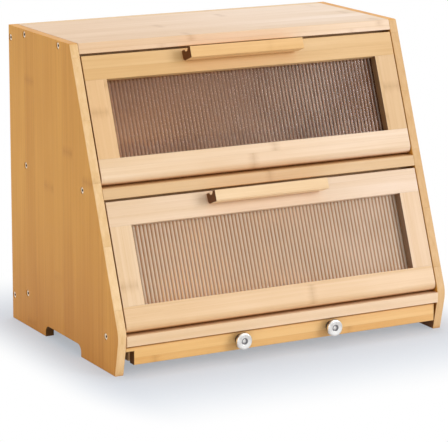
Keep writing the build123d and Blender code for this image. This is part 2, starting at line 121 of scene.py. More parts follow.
class Graph:
    """A material's node tree, with one short method for each kind of step."""

    def __init__(self, name: str) -> None:
        """Start an empty tree with its shader and output.

        Args:
            name: The material's name.
        """
        self.material = bpy.data.materials.new(name)
        self.material.use_nodes = True
        self.tree = self.material.node_tree
        self.tree.nodes.clear()
        self.output = self.tree.nodes.new("ShaderNodeOutputMaterial")

    def node(self, kind: str, **settings: object) -> bpy.types.Node:
        """Add a node.

        Args:
            kind: The node's type name.
            settings: Properties to set on it.

        Returns:
            The new node.
        """
        made = self.tree.nodes.new(kind)
        for key, value in settings.items():
            setattr(made, key, value)
        return made

    def feed(self, socket: Socket, value: Socket | float | Colour | Vector) -> None:
        """Link a socket to another, or set its constant.

        Args:
            socket: The input.
            value: A socket to link, or a constant.
        """
        if isinstance(value, bpy.types.NodeSocket):
            self.tree.links.new(value, socket)
        elif isinstance(value, (int, float)):
            socket.default_value = value
        else:
            numbers = tuple(value)
            wide = socket.type == "RGBA" and len(numbers) == 3
            socket.default_value = (*numbers, 1.0) if wide else numbers

    def shader(self, **inputs: object) -> bpy.types.Node:
        """Add a Principled shader and link it to the output.

        Args:
            inputs: Values by socket name, with _ for each space.

        Returns:
            The shader.
        """
        made = self.node("ShaderNodeBsdfPrincipled")
        for key, value in inputs.items():
            self.feed(made.inputs[key.replace("_", " ")], value)
        self.tree.links.new(made.outputs[0], self.output.inputs["Surface"])
        return made

    def sum_of(self, kind: str, first: Socket | float, second: Socket | float = 0.0,
               third: Socket | float = 0.0, clamp: bool = False) -> Socket:
        """Work out one step of arithmetic.

        Args:
            kind: The Math node's operation.
            first: The first number.
            second: The second number.
            third: The number that MULTIPLY_ADD adds.
            clamp: Whether the result is kept between 0 and 1.

        Returns:
            The result.
        """
        made = self.node("ShaderNodeMath", operation=kind, use_clamp=clamp)
        self.feed(made.inputs[0], first)
        self.feed(made.inputs[1], second)
        self.feed(made.inputs[2], third)
        return made.outputs[0]

    def band(self, value: Socket, low: float, high: float, start: float = 0.0,
             end: float = 1.0) -> Socket:
        """Turn a stretch of values smoothly into another.

        Args:
            value: The number to read.
            low: Where the stretch starts.
            high: Where it ends.
            start: The result at low.
            end: The result at high.

        Returns:
            The result.
        """
        made = self.node("ShaderNodeMapRange", interpolation_type="SMOOTHSTEP")
        for key, number in zip((1, 2, 3, 4), (low, high, start, end)):
            made.inputs[key].default_value = number
        self.feed(made.inputs[0], value)
        return made.outputs[0]

    def blend(self, factor: Socket | float, first: Socket | Colour, second: Socket | Colour,
              how: str = "MIX") -> Socket:
        """Mix two colours.

        Args:
            factor: The second colour's share.
            first: The first colour.
            second: The second colour.
            how: The blend type.

        Returns:
            The mixed colour.
        """
        made = self.node("ShaderNodeMix", data_type="RGBA", blend_type=how, clamp_factor=True)
        self.feed(made.inputs[0], factor)
        self.feed(made.inputs[6], first)
        self.feed(made.inputs[7], second)
        return made.outputs[2]

    def noise(self, vector: Socket, detail: float, roughness: float = 0.5) -> Socket:
        """Add a noise of unit scale.

        Args:
            vector: Where it is read.
            detail: Its octaves.
            roughness: The share of the finer octaves.

        Returns:
            A number from 0 to 1.
        """
        made = self.node("ShaderNodeTexNoise")
        self.feed(made.inputs["Vector"], vector)
        made.inputs["Scale"].default_value = 1.0
        made.inputs["Detail"].default_value = detail
        made.inputs["Roughness"].default_value = roughness
        return made.outputs[0]

    def stretched(self, vector: Socket, scale: Colour) -> Socket:
        """Scale a vector by axis.

        Args:
            vector: The vector.
            scale: Factors for X, Y and Z.

        Returns:
            The scaled vector.
        """
        made = self.node("ShaderNodeVectorMath", operation="MULTIPLY")
        self.feed(made.inputs[0], vector)
        self.feed(made.inputs[1], scale)
        return made.outputs[0]

    def place(self, turn: float = 0.0, centre: Colour = (0.0, 0.0, 0.0)) -> Socket:
        """Read the object's own coordinates, centred and turned about X.

        Args:
            turn: The turn in radians.
            centre: The point that becomes the origin.

        Returns:
            The coordinates in metres.
        """
        read = self.node("ShaderNodeTexCoord")
        made = self.node("ShaderNodeMapping", vector_type="TEXTURE")
        made.inputs["Location"].default_value = centre
        made.inputs["Rotation"].default_value = (turn, 0.0, 0.0)
        self.feed(made.inputs["Vector"], read.outputs["Object"])
        return made.outputs[0]

    def bump(self, height: Socket, depth: float, under: Socket | None = None) -> Socket:
        """Turn a height into a normal.

        Args:
            height: A number from 0 to 1.
            depth: Its height at 1, in metres.
            under: A normal to start from.

        Returns:
            The bumped normal.
        """
        made = self.node("ShaderNodeBump")
        made.inputs["Strength"].default_value = 1.0
        made.inputs["Distance"].default_value = depth
        self.feed(made.inputs["Height"], height)
        if under is not None:
            self.feed(made.inputs["Normal"], under)
        return made.outputs[0]

    def soft_edges(self, radius: float) -> tuple[Socket, Socket]:
        """Round sharp edges in the shading, and find where they are.

        Args:
            radius: The rounding's radius in metres.

        Returns:
            The rounded normal, and a number that is 1 on an edge and 0 away from it.
        """
        made = self.node("ShaderNodeBevel", samples=6)
        made.inputs["Radius"].default_value = radius
        flat = self.node("ShaderNodeNewGeometry")
        dot = self.node("ShaderNodeVectorMath", operation="DOT_PRODUCT")
        self.feed(dot.inputs[0], made.outputs[0])
        self.feed(dot.inputs[1], flat.outputs["True Normal"])
        return made.outputs[0], self.band(dot.outputs["Value"], 0.995, 0.86)


@dataclass(frozen=True)
class Strips:
    """Sockets that say where a point lies in a board's glued strips."""

    along: Socket
    count: Socket
    board: Socket
    luck: Socket
    lot: Socket


@dataclass(frozen=True)
class BambooFinish:
    """Lacquered bamboo board: glued strips with fine fibres, flecks and darker knuckles, plus
    painted shade in crevices and on sideways faces and painted light that pales it to the right.
    """

    name: str
    grain: Grain
    tone: Colour = (0.77, 0.52, 0.27)
    # Painted shade: the deep brown that crevices take.
    crevice_shade_tone: Colour = (0.46, 0.17, 0.02)
    # Tone and share of dark sideways faces: darker end grain and painted shade.
    end_grain_and_shade_tone: Colour = (0.060, 0.017, 0.003)
    end_grain_and_shade_share: float = 0.0
    lit_rim_tone: Colour | None = None
    light_from_right: Colour = (1.0, 1.0, 1.0)
    crevice_shade_share: float = 0.85
    gloss: float = 0.14
    turn: float = 0.0
    strip_width: float = 0.021
    knuckle_spacing: float = 0.235
    seed: float = 0.0
    streaks: float = 1.0

    def shade(self, factors: Colour) -> Colour:
        """Scale the board's tone.

        Args:
            factors: Factors for red, green and blue.

        Returns:
            The colour, kept under white.
        """
        return tuple(min(part * factor, 0.95) for part, factor in zip(self.tone, factors))

    def lay_strips(self, g: Graph) -> Strips:
        """Cut the board into glued strips, each with its own chance and its own shift.

        Args:
            g: The material's graph.

        Returns:
            The strips' sockets.
        """
        split = g.node("ShaderNodeSeparateXYZ")
        g.feed(split.inputs[0], g.place(turn=self.turn))
        along, across, through = (split.outputs[i] for i in self.grain.value)
        count = g.sum_of("ADD", g.sum_of("DIVIDE", across, self.strip_width), self.seed)
        chance = g.node("ShaderNodeTexWhiteNoise", noise_dimensions="1D")
        g.feed(chance.inputs["W"], g.sum_of("ADD", g.sum_of("FLOOR", count), self.seed + 0.5))
        lots = g.node("ShaderNodeSeparateColor")
        g.feed(lots.inputs[0], chance.outputs["Color"])
        luck = chance.outputs["Value"]
        board = g.node("ShaderNodeCombineXYZ")
        g.feed(board.inputs[0], g.sum_of("ADD", along, g.sum_of("MULTIPLY", luck, STRIP_SHIFT)))
        g.feed(board.inputs[1], across)
        g.feed(board.inputs[2], through)
        return Strips(along, count, board.outputs[0], luck, lots.outputs[1])

    def paint_grain(self, g: Graph, strips: Strips) -> tuple[Socket, Socket]:
        """Paint fibres, broad bands, clouds and small flecks.

        Args:
            g: The material's graph.
            strips: The strips' sockets.

        Returns:
            The colour, and the fibres as a number from 0 to 1.
        """
        fibres = g.noise(g.stretched(strips.board, FIBRE_SCALE), 3.0, 0.6)
        bands = g.noise(g.stretched(strips.board, BAND_SCALE), 3.0, 0.55)
        cloud = g.noise(g.stretched(strips.board, CLOUD_SCALE), 2.0)
        tone = g.sum_of("MULTIPLY_ADD", g.sum_of("SUBTRACT", fibres, 0.5), 0.55 * self.streaks,
                        0.5)
        for part, share in ((bands, 1.1 * self.streaks), (cloud, 0.9), (strips.luck, 0.5)):
            step = g.sum_of("MULTIPLY", g.sum_of("SUBTRACT", part, 0.5), share)
            tone = g.sum_of("ADD", tone, step)
        tone = g.sum_of("MINIMUM", g.sum_of("MAXIMUM", tone, 0.0), 1.0)
        colour = g.blend(tone, self.shade(PALE), self.shade(DEEP))
        flecks = g.node("ShaderNodeTexVoronoi", feature="F1")
        g.feed(flecks.inputs["Vector"], g.stretched(strips.board, FLECK_SCALE))
        flecks.inputs["Scale"].default_value = 1.0
        fleck = g.sum_of("MULTIPLY", g.band(flecks.outputs["Distance"], 0.30, 0.12),
                         g.band(bands, 0.45, 0.70))
        fleck_share = g.sum_of("MULTIPLY", fleck, FLECK_SHARE * self.streaks)
        return g.blend(fleck_share, colour, self.shade(KNUCKLE)), fibres

    def mark_knuckles(self, g: Graph, strips: Strips, ragged: Socket,
                      colour: Socket) -> tuple[Socket, Socket]:
        """Mark the cane's knuckles, each a dark line in a soft smudge, on some of the strips.

        Args:
            g: The material's graph.
            strips: The strips' sockets.
            ragged: A noise that frays the marks.
            colour: The colour so far.

        Returns:
            The new colour, and the smudges as a number from 0 to 1.
        """
        spots = g.sum_of("ADD", g.sum_of("DIVIDE", strips.along, self.knuckle_spacing),
                         g.sum_of("MULTIPLY", strips.luck, KNUCKLE_SPREAD))
        off = g.sum_of("ABSOLUTE", g.sum_of("SUBTRACT", g.sum_of("FRACT", spots), 0.5))
        off = g.sum_of("MULTIPLY", off, self.knuckle_spacing)
        fray = g.sum_of("MULTIPLY", g.sum_of("SUBTRACT", ragged, 0.5), KNUCKLE_FRAY)
        off = g.sum_of("ADD", off, fray)
        there = g.band(strips.lot, 0.35, 0.75)
        smudge = g.sum_of("MULTIPLY", g.band(off, SMUDGE_REACH, 0.0), there)
        line = g.sum_of("MULTIPLY", g.band(off, LINE_REACH, 0.0), there)
        for mark, share in ((smudge, SMUDGE_SHARE), (line, LINE_SHARE)):
            colour = g.blend(g.sum_of("MULTIPLY", mark, share), colour, self.shade(KNUCKLE))
        return colour, smudge

    def mark_seams(self, g: Graph, strips: Strips, colour: Socket) -> tuple[Socket, Socket]:
        """Mark the glue lines between the strips.

        Args:
            g: The material's graph.
            strips: The strips' sockets.
            colour: The colour so far.

        Returns:
            The new colour, and the seams as a number from 0 to 1.
        """
        off = g.sum_of("ABSOLUTE", g.sum_of("SUBTRACT", g.sum_of("FRACT", strips.count), 0.5))
        seam = g.band(off, 0.484, 0.499)
        share = g.sum_of("MULTIPLY", seam, SEAM_SHARE)
        return g.blend(share, colour, self.shade(KNUCKLE)), seam

    def paint_rim_light_and_shade(self, g: Graph, colour: Socket, place: bpy.types.Node,
                   facing: bpy.types.Node, sideways: Socket) -> Socket:
        """Paint a panel's front edge paler as painted light, its cut-out and inner foot dark as
        painted shade, and its low part deeper.

        Args:
            g: The material's graph.
            colour: The board's colour so far.
            place: The coordinates by axis.
            facing: The normal by axis.
            sideways: How far the surface faces left or right.

        Returns:
            The new colour.
        """
        # Painted light: faces near the front that face forward take a paler tone.
        ratio = tuple(rim / own for rim, own in zip(self.lit_rim_tone, self.tone))
        lit_front = g.sum_of("MULTIPLY", g.band(facing.outputs[1], -0.4, -0.8),
                           g.band(place.outputs[1], *FRONT_ZONE))
        colour = g.blend(lit_front, colour, g.blend(1.0, colour, ratio, "MULTIPLY"))
        # Painted shade: the walls of the cut-out under the panel go dark.
        off = g.sum_of("ABSOLUTE", g.sum_of("SUBTRACT", place.outputs[1], CUT_OUT_MIDDLE))
        under = g.sum_of("MULTIPLY", g.band(place.outputs[2], *CUT_OUT_TOP),
                         g.band(off, *CUT_OUT_HALF))
        cut_out_shade = g.sum_of("MULTIPLY", under, g.sum_of("SUBTRACT", 1.0, sideways))
        colour = g.blend(g.sum_of("MULTIPLY", cut_out_shade, CUT_OUT_SHADE_SHARE), colour, CUT_OUT_SHADE)
        low = g.sum_of("MULTIPLY", g.band(place.outputs[2], *LOW_ZONE), sideways)
        colour = g.blend(low, colour, g.blend(1.0, colour, LOW_TINT, "MULTIPLY"))
        # Painted shade: the inner faces of the feet go dark.
        inner = g.sum_of("MULTIPLY", facing.outputs[0], place.outputs[0])
        foot = g.sum_of("MULTIPLY", g.band(inner, *INNER_FACE),
                        g.band(place.outputs[2], *FOOT_ZONE))
        return g.blend(g.sum_of("MULTIPLY", foot, FOOT_SHADE_SHARE), colour, FOOT_SHADE)

    def tint_faces(self, g: Graph, colour: Socket, fibres: Socket) -> Socket:
        """Darken the sideways faces as darker end grain and painted shade, paint light and shade
        on the rims, and paint light that pales the tone from left to right.

        Args:
            g: The material's graph.
            colour: The colour so far.
            fibres: The fibres as a number from 0 to 1.

        Returns:
            The new colour.
        """
        normal = g.node("ShaderNodeNewGeometry")
        facing = g.node("ShaderNodeSeparateXYZ")
        g.feed(facing.inputs[0], normal.outputs["True Normal"])
        sideways = g.band(g.sum_of("ABSOLUTE", facing.outputs[0]), 0.6, 0.9)
        # Sideways faces go dark: darker end grain on the handles' ends, painted shade on the
        # stiles' inner walls and the drawer front's notch wall.
        if self.end_grain_and_shade_share > 0.0:
            end_grain_and_shade = g.blend(fibres, self.end_grain_and_shade_tone, self.shade(END_GRAIN_AND_SHADE))
            colour = g.blend(g.sum_of("MULTIPLY", sideways, self.end_grain_and_shade_share), colour, end_grain_and_shade)
        place = g.node("ShaderNodeSeparateXYZ")
        g.feed(place.inputs[0], g.place())
        if self.lit_rim_tone is not None:
            colour = self.paint_rim_light_and_shade(g, colour, place, facing, sideways)
        # Painted light: the tone pales from left to right, as if lit from the right.
        lit_from_right = g.blend(1.0, colour, self.light_from_right, "MULTIPLY")
        return g.blend(g.band(place.outputs[0], -HALF_WIDTH, HALF_WIDTH), colour, lit_from_right)

    def build(self) -> bpy.types.Material:
        """Make the material.

        Returns:
            The bamboo material.
        """
        g = Graph(self.name)
        strips = self.lay_strips(g)
        ragged = g.noise(g.stretched(strips.board, RAGGED_SCALE), 2.0)
        colour, fibres = self.paint_grain(g, strips)
        colour, smudge = self.mark_knuckles(g, strips, ragged, colour)
        colour, seam = self.mark_seams(g, strips, colour)
        colour = self.tint_faces(g, colour, fibres)

        rounded, edge = g.soft_edges(BOARD_EASING)
        patchy = g.sum_of("MULTIPLY", edge, g.band(ragged, 0.30, 0.62))
        colour = g.blend(g.sum_of("MULTIPLY", patchy, WORN_SHARE), colour, self.shade(WORN))
        # Painted shade: the colour darkens towards a deep brown in crevices, gaps and recesses,
        # where shade falls.
        corner = g.node("ShaderNodeAmbientOcclusion", samples=6)
        corner.inputs["Distance"].default_value = CREVICE_SHADE_REACH
        g.feed(corner.inputs["Color"], (1.0, 1.0, 1.0))
        shade = g.band(corner.outputs["AO"], 0.70, 0.10)
        colour = g.blend(g.sum_of("MULTIPLY", shade, self.crevice_shade_share), colour, self.crevice_shade_tone)

        rough = g.sum_of("MULTIPLY_ADD", fibres, 0.16, 0.34)
        rough = g.sum_of("ADD", rough, g.sum_of("MULTIPLY", patchy, 0.15))
        rough = g.sum_of("ADD", rough, g.sum_of("MULTIPLY", shade, 0.45), clamp=True)
        height = g.sum_of("ADD", g.sum_of("MULTIPLY", fibres, 0.5),
                          g.sum_of("MULTIPLY", smudge, 0.6))
        height = g.sum_of("SUBTRACT", height, g.sum_of("MULTIPLY", seam, 0.7))
        g.shader(Base_Color=colour, Roughness=rough, Normal=g.bump(height, GRAIN_DEPTH, rounded),
                 Specular_IOR_Level=self.gloss * 2.0, Coat_Weight=self.gloss, Coat_Roughness=0.24,
                 IOR=1.5)
        return g.material


@dataclass(frozen=True)
class ClearRibbedFinish:
    """Clear acrylic with upright round ribs, a slight milkiness and a few fine scuffs, with
    painted shade in the rib valleys and painted highlight lines on one flank of each rib, weaker
    to the left.
    """

    name: str
    valley_shade: Colour
    edge_x: float
    pitch: float
    highlight_haze_share: float
    highlight_haze_tone: Colour
    left_highlight_share: float
    veil: float
    crest: Colour
    cool_highlight_haze: Colour = (0.76, 0.64, 0.58)
    flank_phase: float = 0.36
    specular_tint: Colour = (0.46, 0.40, 0.38)

    def build(self) -> bpy.types.Material:
        """Make the material.

        Returns:
            The acrylic material.
        """
        g = Graph(self.name)
        here = g.place()
        split = g.node("ShaderNodeSeparateXYZ")
        g.feed(split.inputs[0], here)
        past_edge = g.sum_of("SUBTRACT", split.outputs[0], self.edge_x)
        phase = g.sum_of("FRACT", g.sum_of("DIVIDE", past_edge, self.pitch))
        off = g.sum_of("ABSOLUTE", g.sum_of("SUBTRACT", phase, 0.5))
        cloud = g.noise(g.stretched(here, (16.0, 16.0, 22.0)), 2.0)
        scuff = g.noise(g.stretched(here, (900.0, 300.0, 300.0)), 2.0, 0.7)
        # Painted shade: the valleys of the ribs darken.
        dark = g.sum_of("MULTIPLY", g.band(off, 0.16, 0.44), g.band(cloud, 0.25, 0.75, 1.0, 0.8))
        # Painted highlights: a pale milky line on one flank of each rib.
        flank = g.sum_of("ABSOLUTE", g.sum_of("SUBTRACT", phase, self.flank_phase))
        sheen = g.sum_of("MULTIPLY", g.band(flank, 0.17, 0.03),
                         g.band(cloud, 0.30, 0.70, 0.45, 1.0))
        colour = g.blend(dark, self.crest, self.valley_shade)
        # The painted highlight lines turn cooler to the right and weaker to the left.
        cool = g.band(split.outputs[0], -0.06, 0.17, 0.0, 0.75)
        colour = g.blend(sheen, colour, g.blend(cool, self.highlight_haze_tone, self.cool_highlight_haze))
        highlight_haze_amount = g.sum_of("MULTIPLY", sheen, g.band(split.outputs[0], -0.15, 0.10,
                                                  self.highlight_haze_share * self.left_highlight_share,
                                                  self.highlight_haze_share))
        clear = g.sum_of("SUBTRACT", 1.0, g.sum_of("MAXIMUM", highlight_haze_amount, self.veil))
        rough = g.sum_of("ADD", g.band(cloud, 0.3, 0.8, 0.05, 0.10),
                         g.band(scuff, 0.62, 0.75, 0.0, 0.04))
        g.shader(Base_Color=colour, Roughness=rough, IOR=1.49, Transmission_Weight=clear,
                 Specular_Tint=self.specular_tint, Normal=g.bump(scuff, 0.00001))
        return g.material


@dataclass(frozen=True)
class TurnedMetalFinish:
    """Satin nickel turned on a lathe, with fine rings about its axis."""

    name: str
    centre: Colour
    bright: Colour = (0.86, 0.85, 0.83)
    dull: Colour = (0.66, 0.63, 0.60)
    shadowed: Colour = (0.16, 0.155, 0.17)
    button: float = 0.0020
    recess: float = 0.0037
    neck_y: tuple[float, float] = (-0.0034, -0.0018)

    def build(self) -> bpy.types.Material:
        """Make the material.

        Returns:
            The metal material.
        """
        g = Graph(self.name)
        here = g.place(centre=self.centre)
        split = g.node("ShaderNodeSeparateXYZ")
        g.feed(split.inputs[0], here)
        squares = g.sum_of("ADD", g.sum_of("MULTIPLY", split.outputs[0], split.outputs[0]),
                           g.sum_of("MULTIPLY", split.outputs[2], split.outputs[2]))
        radius = g.sum_of("SQRT", squares)
        rings_at = g.node("ShaderNodeCombineXYZ")
        g.feed(rings_at.inputs[0], g.sum_of("MULTIPLY", radius, 5200.0))
        g.feed(rings_at.inputs[1], g.sum_of("MULTIPLY", split.outputs[1], 2600.0))
        rings = g.noise(rings_at.outputs[0], 2.0, 0.7)
        tarnish = g.noise(g.stretched(here, (160.0, 160.0, 160.0)), 3.0)
        rounded, edge = g.soft_edges(0.0005)
        colour = g.blend(g.band(tarnish, 0.35, 0.75), self.bright, self.dull)
        colour = g.blend(g.sum_of("MULTIPLY", edge, 0.4), colour, (0.93, 0.92, 0.90))
        middle = (self.button + self.recess) / 2
        ring = g.band(g.sum_of("ABSOLUTE", g.sum_of("SUBTRACT", radius, middle)),
                      self.recess - middle + 0.0002, self.recess - middle - 0.0003)
        colour = g.blend(g.sum_of("MULTIPLY", ring, 0.92), colour, self.shadowed)
        colour = g.blend(g.band(split.outputs[1], *self.neck_y), colour, self.shadowed)
        rough = g.sum_of("ADD", g.band(tarnish, 0.3, 0.7, 0.20, 0.30),
                         g.sum_of("MULTIPLY", rings, 0.08))
        g.shader(Base_Color=colour, Metallic=1.0, Roughness=rough,
                 Normal=g.bump(rings, 0.00002, rounded))
        return g.material


@dataclass(frozen=True)
class PlatedSteelFinish:
    """Small plated hardware: bright, lightly speckled, duller on its worn edges, with painted
    shade in the screw sockets.
    """

    name: str
    bright: Colour = (0.88, 0.87, 0.84)
    dull: Colour = (0.62, 0.60, 0.57)
    gloss: float = 0.28
    face_x: float = 0.0
    socket_shade: Colour = (0.045, 0.028, 0.016)

    def build(self) -> bpy.types.Material:
        """Make the material.

        Returns:
            The plated material.
        """
        g = Graph(self.name)
        here = g.place()
        speckle = g.noise(g.stretched(here, (1400.0, 1400.0, 1400.0)), 3.0, 0.6)
        patches = g.noise(g.stretched(here, (240.0, 240.0, 240.0)), 2.0)
        rounded, edge = g.soft_edges(0.0003)
        colour = g.blend(g.band(patches, 0.35, 0.75), self.bright, self.dull)
        colour = g.blend(g.sum_of("MULTIPLY", edge, 0.35), colour, self.dull)
        # Painted shade: whatever lies below the screw heads' faces, the sockets among it, goes
        # dark.
        if self.face_x > 0.0:
            split = g.node("ShaderNodeSeparateXYZ")
            g.feed(split.inputs[0], here)
            sunk_shade = g.band(g.sum_of("ABSOLUTE", split.outputs[0]), self.face_x - 0.00005,
                          self.face_x - 0.00025)
            colour = g.blend(sunk_shade, colour, self.socket_shade)
        rough = g.sum_of("ADD", g.sum_of("MULTIPLY", speckle, 0.14), self.gloss - 0.05)
        g.shader(Base_Color=colour, Metallic=1.0, Roughness=rough,
                 Normal=g.bump(speckle, 0.00001, rounded))
        return g.material


@dataclass(frozen=True)
class NylonFinish:
    """Natural nylon with a fine moulded grain."""

    name: str = "natural_nylon"

    def build(self) -> bpy.types.Material:
        """Make the material.

        Returns:
            The nylon material.
        """
        g = Graph(self.name)
        here = g.place()
        grain = g.noise(g.stretched(here, (2600.0, 2600.0, 2600.0)), 2.0)
        cloud = g.noise(g.stretched(here, (120.0, 120.0, 120.0)), 2.0)
        colour = g.blend(cloud, (0.86, 0.84, 0.78), (0.78, 0.75, 0.68))
        g.shader(Base_Color=colour, Roughness=g.band(grain, 0.2, 0.8, 0.38, 0.52),
                 Normal=g.bump(grain, 0.00002))
        return g.material


def dress(node: str, finish: bpy.types.Material) -> None:
    """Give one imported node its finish.

    Args:
        node: The node's name.
        finish: The material.
    """
    held = FRAME["nodes"][node]
    if not held.data.materials:
        held.data.materials.append(finish)
    for i in range(len(held.material_slots)):
        held.material_slots[i].material = finish
    LOG.info("%s wears %s", node, finish.name)


FRAME: dict = {}


@dataclass
class Carcass:
    """The fixed boards with their screws, stop strips, magnets, bushes and runners."""

    # The side panels' deep tone is partly their own and partly painted shade; the rim tones are
    # painted light on the front edges, and the top's paler shift to the right is painted light.
    side_tone_and_shade: Colour = (0.71, 0.332, 0.053)
    left_lit_rim: Colour = (0.90, 0.61, 0.31)
    right_lit_rim: Colour = (0.73, 0.455, 0.21)
    top_tone: Colour = (0.74, 0.50, 0.30)
    top_lit_rim: Colour = (0.87, 0.60, 0.375)
    top_light_from_right: Colour = (1.09, 1.22, 1.48)
    middle_tone: Colour = (0.74, 0.47, 0.222)
    bottom_tone: Colour = (0.87, 0.61, 0.36)

    def dress_sides(self) -> None:
        """Give the side panels upright grain in a deeper tone, partly their own and partly painted
        shade, with painted light on their front edges.
        """
        rims = {"left": self.left_lit_rim, "right": self.right_lit_rim}
        for seed, (side, rim) in enumerate(rims.items()):
            finish = BambooFinish(f"side_bamboo_{side}", Grain.TALL_SIDE, tone=self.side_tone_and_shade,
                                  lit_rim_tone=rim, gloss=0.07, seed=4.0 + 9.0 * seed,
                                  strip_width=0.024, knuckle_spacing=0.27, streaks=1.25)
            dress(f"side_panel_{side}", finish.build())

    def dress_boards(self) -> None:
        """Give the boards between the sides grain across the box."""
        tones = {"top_panel": self.top_tone, "middle_shelf": self.middle_tone,
                 "bottom_shelf": self.bottom_tone}
        for seed, (board, tone) in enumerate(tones.items()):
            top = board == "top_panel"
            # The top panel's front edge takes painted light, and each board's tone pales to the
            # right as painted light.
            finish = BambooFinish(f"{board}_bamboo", Grain.WIDE_FLAT, tone=tone,
                                  light_from_right=self.top_light_from_right if top else (1.0, 1.03, 1.12),
                                  lit_rim_tone=self.top_lit_rim if top else None,
                                  seed=21.0 + 5.0 * seed, streaks=0.8)
            dress(board, finish.build())
        back = BambooFinish("back_bamboo", Grain.WIDE_UPRIGHT, seed=40.0, strip_width=0.026)
        dress("back_panel", back.build())
        trim = BambooFinish("trim_bamboo", Grain.WIDE_UPRIGHT, seed=47.0).build()
        for node in ("upper_stop_strip", "lower_stop_strip", "drawer_stop_block"):
            dress(node, trim)
        runner = BambooFinish("runner_bamboo", Grain.DEEP_SIDE, seed=52.0).build()
        for side in ("left", "right"):
            dress(f"drawer_runner_{side}", runner)

    def dress_hardware(self) -> None:
        """Give the screws, magnets and bushes their metal and nylon."""
        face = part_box("case_screws_right")[1].x
        screws = PlatedSteelFinish("nickel_screws", bright=(0.95, 0.87, 0.74),
                                   dull=(0.86, 0.74, 0.58), gloss=0.40, face_x=face).build()
        zinc = PlatedSteelFinish("zinc_screws", gloss=0.34).build()
        magnet = PlatedSteelFinish("magnet_nickel", bright=(0.80, 0.80, 0.80), gloss=0.18).build()
        nylon = NylonFinish().build()
        for side in ("left", "right"):
            dress(f"case_screws_{side}", screws)
            dress(f"runner_screws_{side}", zinc)
        for level in ("upper", "lower"):
            dress(f"{level}_magnets", magnet)
            dress(f"{level}_hinge_bushes", nylon)

    def build(self) -> None:
        """Dress the whole carcass."""
        self.dress_sides()
        self.dress_boards()
        self.dress_hardware()


@dataclass
class Door:
    """One framed door with its ribbed window, handle and hardware."""

    level: str
    seed: float
    slope: float
    top_rail: Colour
    bottom_rail: Colour
    left_stile: Colour
    right_stile: Colour
    bar: Colour
    valley_shade: Colour
    highlight_haze: float
    highlight_haze_tone: Colour
    left_highlight_share: float
    veil: float
    crest: Colour

    def dress_frame(self) -> None:
        """Give rails and stiles grain along their length."""
        rails = {"top_rail": self.top_rail, "bottom_rail": self.bottom_rail}
        for i, (rail, tone) in enumerate(rails.items()):
            # The rails' tone pales to the right, painted light.
            finish = BambooFinish(f"{self.level}_{rail}_bamboo", Grain.WIDE_UPRIGHT, tone=tone,
                                  turn=self.slope, seed=self.seed + 3.0 * i,
                                  light_from_right=(1.0, 1.04, 1.16))
            dress(f"{self.level}_door_{rail}", finish.build())
        stiles = {"left_stile": self.left_stile, "right_stile": self.right_stile}
        for i, (stile, tone) in enumerate(stiles.items()):
            # The stiles' sideways faces, their inner walls by the window among them, take painted
            # shade.
            finish = BambooFinish(f"{self.level}_{stile}_bamboo", Grain.TALL_FRONT, tone=tone,
                                  turn=self.slope, seed=self.seed + 11.0 + 3.0 * i,
                                  end_grain_and_shade_share=0.80)
            dress(f"{self.level}_door_{stile}", finish.build())

    def dress_handle(self) -> None:
        """Give the handle long grain and dark ends: darker end grain with painted shade."""
        finish = BambooFinish(f"{self.level}_handle_bamboo", Grain.WIDE_UPRIGHT, tone=self.bar,
                              turn=self.slope, seed=self.seed + 17.0, end_grain_and_shade_share=0.97,
                              strip_width=0.03, gloss=0.04,
                              end_grain_and_shade_tone=(0.085, 0.017, 0.002))
        dress(f"{self.level}_door_handle", finish.build())

    def dress_hardware(self, steel: bpy.types.Material) -> None:
        """Give the pins, screws and strikes their metal.

        Args:
            steel: The plated steel.
        """
        for piece in ("handle_screws", "hinge_pins", "strike_plates", "strike_screws"):
            dress(f"{self.level}_door_{piece}", steel)

    def dress_window(self) -> None:
        """Give the window its ribbed acrylic, with the ribs between the stiles' inner edges."""
        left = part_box(f"{self.level}_door_left_stile")[1].x
        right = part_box(f"{self.level}_door_right_stile")[0].x
        window = f"{self.level}_door_window"
        finish = ClearRibbedFinish(f"{self.level}_ribbed_acrylic", self.valley_shade, left,
                                   (right - left) / RIBS, self.highlight_haze, self.highlight_haze_tone,
                                   self.left_highlight_share, self.veil, self.crest)
        dress(window, finish.build())
        FRAME["nodes"][window].visible_shadow = False

    def build(self, steel: bpy.types.Material) -> None:
        """Dress the whole door.

        Args:
            steel: The plated steel.
        """
        self.dress_frame()
        self.dress_handle()
        self.dress_hardware(steel)
        self.dress_window()


